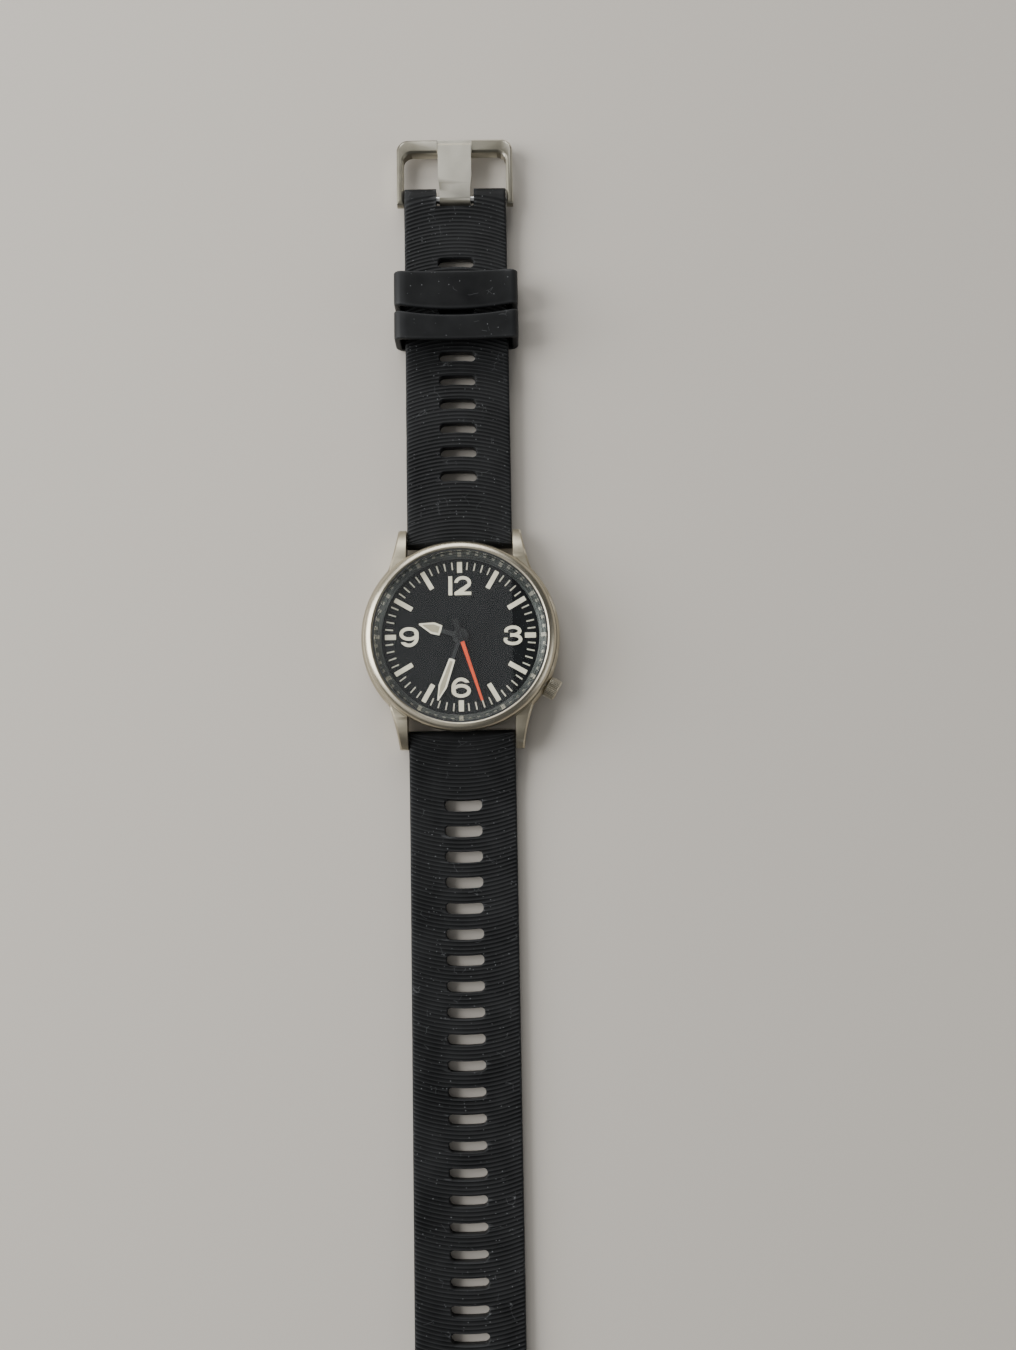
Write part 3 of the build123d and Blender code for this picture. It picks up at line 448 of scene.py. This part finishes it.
chapter_grey = chapter_metal("chapter_ring_grey", (0.07, 0.077, 0.074), (0.17, 0.18, 0.17),
                             (0.62, 0.59, 0.49))
seconds_arbor = arbor_metal("seconds_arbor_brass", hub_height=6.6)
second_red = needle_paint("second_hand_red", reach=1.2, turn=math.radians(90 - 162.2))
steel = brushed_metal("steel_ground", (0.46, 0.46, 0.45), (0.62, 0.62, 0.60))
brass = brushed_metal("brass_gilt", gilt_dark, gilt_light)
holder_white = paint("holder_plastic", (0.58, 0.57, 0.53), (0.66, 0.65, 0.61), (0.42, 0.52))
board_green = paint("board_green", (0.015, 0.10, 0.045), (0.03, 0.16, 0.07), (0.2, 0.3))
copper_wire = brushed_metal("copper_wire", (0.50, 0.17, 0.06), (0.75, 0.32, 0.14), distance=0.00001)
crystal_clear = crystal_glass()
hour_paint = stem_and_blade("hour_hand_paint", reach=3.75)
minute_paint = stem_and_blade("minute_hand_paint", reach=4.6)

finish_of_slot = {
    "case_metal": titanium, "bezel_metal": titanium_ring, "crown_metal": titanium,
    "crystal_glass": crystal_clear, "seal_rubber": seal_black, "chapter_finish": chapter_grey,
    "dial_black": dial_black, "lume": lume_cream, "track_print": track_cream, "hand_paint": hour_paint,
    "hand_lume": lume_aged, "second_paint": second_red, "steel": steel, "brass": brass,
    "holder_plastic": holder_white, "board": board_green, "copper": copper_wire,
    "strap_rubber": strap_black, "keeper_rubber": keeper_black, "buckle_metal": titanium_buckle,
}
for node, piece in frame["nodes"].items():
    piece.data.materials.clear()
    piece.data.materials.append(finish_of_slot[slot_of_node[node]])
frame["nodes"]["minute_hand"].data.materials[0] = minute_paint
frame["nodes"]["second_wheel"].data.materials[0] = seconds_arbor


# Modelling helpers --------------------------------------------------------------------------------
def stand_for(bm, name, node, material, smooth_angle=40):
    """Turn a bmesh into a piece that replaces one CAD node and rides on its body."""
    mesh = bpy.data.meshes.new(name)
    bm.to_mesh(mesh)
    bm.free()
    piece = bpy.data.objects.new(name, mesh)
    bpy.context.scene.collection.objects.link(piece)
    mesh.materials.append(material)
    mesh.polygons.foreach_set("use_smooth", [True] * len(mesh.polygons))
    mesh.set_sharp_from_angle(angle=math.radians(smooth_angle))
    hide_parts(node)
    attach(piece, body_of_node[node])
    return piece


def round_edges(piece, width, segments=3, angle=32):
    """Live bevel on a piece's hard edges, with the shading kept true on its flats."""
    bevel = piece.modifiers.new("rounded_edges", "BEVEL")
    bevel.width = width * MM
    bevel.segments = segments
    bevel.limit_method = "ANGLE"
    bevel.angle_limit = math.radians(angle)
    bevel.harden_normals = True
    bevel.use_clamp_overlap = True


def turned(profile, steps=240):
    """Ring or disc turned about the dial's axis from (radius, height) corners in millimetres."""
    bm = bmesh.new()
    corners = [bm.verts.new((radius * MM, 0, height * MM)) for radius, height in profile]
    solid = profile[0][0] == 0
    ends = corners[1:] if solid else corners[1:] + corners[:1]
    edges = [bm.edges.new(pair) for pair in zip(corners, ends)]
    bmesh.ops.spin(bm, geom=corners + edges, cent=(0, 0, 0), axis=(0, 0, 1), angle=math.tau,
                   steps=steps, use_merge=True)
    bmesh.ops.remove_doubles(bm, verts=bm.verts, dist=1e-7)
    bmesh.ops.dissolve_degenerate(bm, edges=bm.edges, dist=1e-7)
    bmesh.ops.recalc_face_normals(bm, faces=bm.faces)
    return bm


def cad_copy(node):
    """Merged copy of a CAD node's mesh."""
    bm = bmesh.new()
    bm.from_mesh(frame["nodes"][node].data)
    bmesh.ops.remove_doubles(bm, verts=bm.verts, dist=2e-6)
    bmesh.ops.dissolve_degenerate(bm, edges=bm.edges, dist=1e-6)
    bmesh.ops.dissolve_limit(bm, angle_limit=math.radians(0.4), verts=bm.verts, edges=bm.edges)
    return bm


def smooth_step(value, low, high):
    """0 below one value, 1 above another and an even curve between."""
    share = min(max((value - low) / (high - low), 0.0), 1.0)
    return share * share * (3 - 2 * share)


# Floor, light and camera ---------------------------------------------------------------------------
def studio():
    """Pale floor, a wide soft light from above and the left, and a camera almost straight above."""
    bpy.ops.mesh.primitive_plane_add(size=14.0)
    floor = bpy.context.object
    floor.name = "floor"
    material, _, _ = start_material("floor_pale", {
        "Base Color": (0.60, 0.56, 0.50, 1), "Roughness": 0.7, "Specular IOR Level": 0.2,
    })
    floor.data.materials.append(material)

    # Each light's place and size in metres, and its power. All but the first face the dial's middle.
    for name, place, size, watts in (
        ("overhead_softbox", (-0.3433, 0.05, 0.60), (0.7134, 1.3), 1.6),
        ("left_window", (-0.85, 0.15, 0.55), (0.7, 0.9), 14.0),
        ("far_window", (-0.15, 1.0, 0.60), (0.9, 0.5), 7.0),
        ("right_fill", (0.95, -0.2, 0.45), (0.5, 0.6), 1.6),
    ):
        light = bpy.data.lights.new(name, "AREA")
        light.shape = "RECTANGLE"
        light.size, light.size_y = size
        light.energy = watts
        lamp = bpy.data.objects.new(name, light)
        lamp.location = place
        if name != "overhead_softbox":
            lamp.rotation_euler = Vector(place).to_track_quat("Z", "Y").to_euler()
        bpy.context.scene.collection.objects.link(lamp)

    world = bpy.data.worlds.new("studio")
    world.use_nodes = True
    sky = world.node_tree.nodes["Background"]
    sky.inputs["Color"].default_value = (0.95, 0.97, 1.0, 1)
    sky.inputs["Strength"].default_value = 0.12
    bpy.context.scene.world = world

    camera = bpy.data.cameras.new("camera")
    camera.lens = 37.33
    camera.sensor_width = 36.0
    eye = bpy.data.objects.new("camera", camera)
    eye.location = (0.0082, -0.0392, 0.265)
    eye.rotation_euler = (math.radians(7), 0, math.radians(-1))
    bpy.context.scene.collection.objects.link(eye)
    bpy.context.scene.camera = eye


studio()


# Case and bezel -----------------------------------------------------------------------------------
case_piece = stand_for(cad_copy("mid_case"), "case_with_lugs", "mid_case", titanium)
round_edges(case_piece, 0.12)

bezel_inner = 16.3
bezel_seat = 16.9
bezel_slope = [(bezel_radius, 7.55), (17.62, 8.12), (17.1, 8.46), (16.62, bezel_high.z)]
bezel_piece = stand_for(turned([
    (bezel_seat, bezel_low.z), (bezel_radius, bezel_low.z), *bezel_slope,
    (bezel_inner, bezel_high.z - 0.12), (bezel_inner, crystal_low.z), (bezel_seat, crystal_low.z),
]), "bezel_ring", "bezel", titanium_ring)
round_edges(bezel_piece, 0.1)

crystal_chamfer = 0.25
crystal_piece = stand_for(turned([
    (0, crystal_low.z), (crystal_radius, crystal_low.z), (crystal_radius, crystal_high.z - crystal_chamfer),
    (crystal_radius - crystal_chamfer, crystal_high.z), (0, crystal_high.z),
]), "crystal_disc", "crystal", crystal_clear)
round_edges(crystal_piece, 0.05)

back_piece = stand_for(cad_copy("case_back"), "case_back_cover", "case_back", titanium_ring)
round_edges(back_piece, 0.1)

crown_piece = stand_for(cad_copy("crown"), "crown_knurled", "crown", titanium)
round_edges(crown_piece, 0.05, segments=2)


# Strap --------------------------------------------------------------------------------------------
loop_corners = 24           # corners of the circle that a rounded rectangle is drawn from


def on_rounded_rectangle(angle, half_wide, half_high, corner):
    """Point of a rounded rectangle that faces a given way."""
    across, up = math.cos(angle), math.sin(angle)
    return (across * corner + math.copysign(half_wide - corner, across),
            up * corner + math.copysign(half_high - corner, up))


def rounded_loop(bm, half_x, half_z, corner, cuts):
    """Closed loop of a rounded rectangle across the strap, its two long sides divided by cuts."""
    bmesh.ops.create_circle(bm, radius=1.0, segments=loop_corners,
                            matrix=Matrix.Rotation(math.pi / 2 + 1e-4, 4, "X"))
    for vert in bm.verts:
        angle = math.atan2(vert.co.z, vert.co.x) + math.pi / loop_corners
        x, z = on_rounded_rectangle(angle, half_x, half_z, corner)
        vert.co = Vector((x, 0, z)) * MM
    long_edges = [e for e in bm.edges if e.calc_length() > half_x * MM]
    bmesh.ops.subdivide_edges(bm, edges=long_edges, cuts=cuts)


def swept(bm, steps, reach):
    """Sweep everything in a bmesh along a straight line, in even steps."""
    bmesh.ops.spin(bm, geom=list(bm.verts) + list(bm.edges), cent=(0, 0, 0), axis=(0, 0, 1), angle=0,
                   steps=steps, dvec=reach)


def closed_ends(bm):
    """Fill the open ends of a sweep."""
    bmesh.ops.holes_fill(bm, edges=[e for e in bm.edges if e.is_boundary])


def as_mesh(bm, name):
    """A finished bmesh as a mesh."""
    mesh = bpy.data.meshes.new(name)
    bm.to_mesh(mesh)
    bm.free()
    return mesh


def as_cutter(bm, name):
    """A finished bmesh as a plain object to cut with."""
    tool = bpy.data.objects.new(name, as_mesh(bm, name))
    bpy.context.scene.collection.objects.link(tool)
    return tool


def slot_cutters(count, middle, direction):
    """Cutters for a row of slots, curved like the grooves and flared at the strap's two faces."""
    thick, flare, spare = strap_half_thick, slot_flare, 1.5
    levels = ((-thick - spare, flare), (-thick, flare), (-thick + flare, 0), (0, 0),
              (thick - flare, 0), (thick, flare), (thick + spare, flare))
    bm = bmesh.new()
    bmesh.ops.create_circle(bm, radius=1.0, segments=loop_corners)
    for vert in bm.verts:
        angle = math.atan2(vert.co.y, vert.co.x) + math.pi / loop_corners
        vert.co.x, vert.co.y = on_rounded_rectangle(angle, slot_length / 2, slot_gap / 2, slot_rounding)
    long_edges = [e for e in bm.edges if e.calc_length() > slot_length * 0.4]
    bmesh.ops.subdivide_edges(bm, edges=long_edges, cuts=9)
    swept(bm, len(levels) - 1, (0, 0, 1))
    closed_ends(bm)
    one_slot = as_mesh(bm, "one_slot")
    bm = bmesh.new()
    for number in range(count):
        centre = slot_first + number * slot_pitch
        before = len(bm.verts)
        bm.from_mesh(one_slot)
        bm.verts.ensure_lookup_table()
        for vert in bm.verts[before:]:
            height, grow = levels[round(vert.co.z)]
            x = vert.co.x * (1 + 2 * grow / slot_length)
            y = vert.co.y * (1 + 2 * grow / slot_gap)
            bow = math.sqrt(groove_arc ** 2 - x * x) - groove_arc
            vert.co = Vector((x, direction * (centre + y + bow), middle(centre) + height)) * MM
    bmesh.ops.recalc_face_normals(bm, faces=bm.faces)
    return as_cutter(bm, "slot_cutter")


def notch_cutter(low_y, high_y):
    """Block that opens the middle of the strap's end, between two reaches."""
    bm = bmesh.new()
    bmesh.ops.create_cube(bm, size=1.0)
    bmesh.ops.scale(bm, vec=Vector((2 * notch_half_width, high_y - low_y, 20)) * MM, verts=bm.verts)
    bmesh.ops.translate(bm, vec=(0, (high_y + low_y) / 2 * MM, 0), verts=bm.verts)
    return as_cutter(bm, "notch")


def cut(piece, cutter):
    """Subtract a cutter from a piece's mesh, and remove the cutter."""
    tool = piece.modifiers.new("cut", "BOOLEAN")
    tool.operation = "DIFFERENCE"
    tool.solver = "EXACT"
    tool.object = cutter
    bpy.context.view_layer.update()
    finished = piece.evaluated_get(bpy.context.evaluated_depsgraph_get())
    mesh = bpy.data.meshes.new_from_object(finished)
    piece.modifiers.remove(tool)
    piece.data = mesh
    bpy.data.objects.remove(cutter)


def strap_half(name, node, direction, start, end, centre, half_thick, half_width, grooves_end, slots,
               notch=None):
    """Grooved strap half. Its shape is given by functions of the reach."""
    rows = round((end - start) / groove_pitch * rows_per_groove)
    sharp_angle = 50
    bend_length = 3.0           # over which the rows' curve comes in at each end
    bm = bmesh.new()
    rounded_loop(bm, strap_half_width, strap_half_thick, strap_side_round, cuts=22)
    swept(bm, 1, (0, (end - start) * MM, 0))
    bmesh.ops.subdivide_edges(bm, edges=[e for e in bm.edges if not e.is_boundary], cuts=rows - 1)
    closed_ends(bm)
    for vert in bm.verts:
        along = start + vert.co.y / MM
        x, z = vert.co.x / MM, vert.co.z / MM
        near_bend = smooth_step(along, start, start + bend_length)
        far_bend = 1 - smooth_step(along, grooves_end - bend_length, grooves_end)
        bow = (math.sqrt(groove_arc ** 2 - x * x) - groove_arc) * near_bend * far_bend
        on_top = smooth_step(z, strap_half_thick * 0.75, strap_half_thick * 0.99)
        valley = (0.5 - 0.5 * math.cos(math.tau * (along - start) / groove_pitch)) ** 0.8
        lowered = groove_depth * valley * on_top * smooth_step(along, start + 1.2, start + 2.4)
        lowered *= 1 - smooth_step(along, end - 2.2, end - 1.2)
        height = centre(along) + z * half_thick(along) / strap_half_thick - lowered
        ripple = 0.03 * noise.noise(Vector((x * 0.5, along * 0.18, z)))
        wide = (x + ripple) * half_width(along) / strap_half_width
        vert.co = Vector((wide, direction * (along + bow), height)) * MM
    bmesh.ops.recalc_face_normals(bm, faces=bm.faces)
    piece = stand_for(bm, name, node, strap_black, sharp_angle)
    cut(piece, slot_cutters(slots, centre, direction))
    if notch:
        cut(piece, notch_cutter(*notch))
    piece.data.set_sharp_from_angle(angle=math.radians(sharp_angle))


def short_thick(d):
    """Half thickness of the short half, with a round eye at each end."""
    if d < bar_reach:
        return math.sqrt(max(strap_eye ** 2 - (bar_reach - d) ** 2, 0.01))
    if d > buckle_reach:
        return math.sqrt(max(buckle_eye ** 2 - (d - buckle_reach) ** 2, 0.01))
    near = (strap_eye - strap_half_thick) * (1 - smooth_step(d, bar_reach, bar_reach + eye_taper))
    far = (buckle_eye - strap_half_thick) * smooth_step(d, buckle_reach - buckle_taper, buckle_reach)
    return strap_half_thick + near + far


def long_centre(d):
    """Height of the long half's middle, which comes down from its bar to the table."""
    return bar_height + (strap_half_thick - bar_height) * smooth_step(d, bar_reach, table_reach)


def long_thick(d):
    """Half thickness of the long half, with a round eye at its bar and a rounded tip."""
    if d < bar_reach:
        return math.sqrt(max(strap_eye ** 2 - (bar_reach - d) ** 2, 0.01))
    near = (strap_eye - strap_half_thick) * (1 - smooth_step(d, bar_reach, bar_reach + eye_taper))
    tip = max(d - (-long_low.y - tip_round), 0.0) / tip_round
    return (strap_half_thick + near) * math.sqrt(max(1 - tip * tip, 0.02))


def long_width(d):
    """Half width of the long half, drawn in round its tip."""
    past = min(max(d - (-long_low.y - tip_corner), 0.0), tip_corner)
    return strap_half_width - tip_corner + math.sqrt(max(tip_corner ** 2 - past ** 2, 0.0))


inset = 0.02                # keeps a strap's ends inside the frame's box
strap_half("strap_short_grooved", "strap_short", 1, short_low.y + inset, short_high.y - inset,
           lambda d: bar_height, short_thick, lambda d: strap_half_width, short_high.y, slots=10,
           notch=(buckle_reach - notch_depth, short_high.y + 2))
strap_half("strap_long_grooved", "strap_long", -1, -long_high.y + inset, -long_low.y - inset,
           long_centre, long_thick, long_width, -long_low.y - 1.5, slots=23)


# Keepers ------------------------------------------------------------------------------------------
keeper_wall = 1.2
keeper_droop = 0.12         # lowering of the keeper's two edges
keeper_crown = 0.10         # lowering of its sides


def keeper(name, node, low_sag, high_sag):
    """Free keeper: a moulded loop with softened shoulders and each edge bowed by its own sag."""
    low, high = span(node)
    half_x, half_z = high.x, (high.z - low.z) / 2
    middle = (high.z + low.z) / 2
    outer_corner, inner_corner = 1.6, 0.6
    rows = 12
    bm = bmesh.new()
    rounded_loop(bm, half_x, half_z, outer_corner, cuts=17)
    swept(bm, 2 * rows + 2, (0, 1, 0))
    flat_x, flat_z = half_x - outer_corner, half_z - outer_corner
    room_x, room_z = half_x - keeper_wall - inner_corner, half_z - keeper_wall - inner_corner
    for vert in bm.verts:
        row = round(vert.co.y)
        inside = rows < row <= 2 * rows + 1
        share = (2 * rows + 1 - row) / rows if inside else (row % (2 * rows + 2)) / rows
        x, z = vert.co.x / MM, vert.co.z / MM
        core_x, core_z = min(max(x, -flat_x), flat_x), min(max(z, -flat_z), flat_z)
        out_x, out_z = (x - core_x) / outer_corner, (z - core_z) / outer_corner
        if inside:
            x = core_x * room_x / flat_x + out_x * inner_corner
            z = core_z * room_z / flat_z + out_z * inner_corner
        else:
            droop = keeper_droop * (2 * share - 1) ** 4 + keeper_crown * (x / half_x) ** 2
            z -= math.copysign(droop, z)
        bend = min((x / half_x) ** 2, 1)
        low_edge = low.y + low_sag * bend
        high_edge = high.y - high_sag * (1 - bend)
        vert.co = Vector((x, low_edge + share * (high_edge - low_edge), middle + z)) * MM
    bmesh.ops.remove_doubles(bm, verts=bm.verts, dist=1e-6)
    bmesh.ops.recalc_face_normals(bm, faces=bm.faces)
    round_edges(stand_for(bm, name, node, keeper_black), 0.35, segments=4, angle=40)


keeper("keeper_lower_loop", "keeper_lower", low_sag=0.35, high_sag=1.25)
keeper("keeper_upper_loop", "keeper_upper", low_sag=1.25, high_sag=0.35)


# Buckle -------------------------------------------------------------------------------------------
frame_piece = stand_for(cad_copy("buckle_frame"), "buckle_frame_blasted", "buckle_frame", titanium_buckle)
round_edges(frame_piece, 0.28, segments=3)
tang_piece = stand_for(cad_copy("buckle_tang"), "buckle_tang_blasted", "buckle_tang", titanium_buckle)
round_edges(tang_piece, 0.15, segments=3)
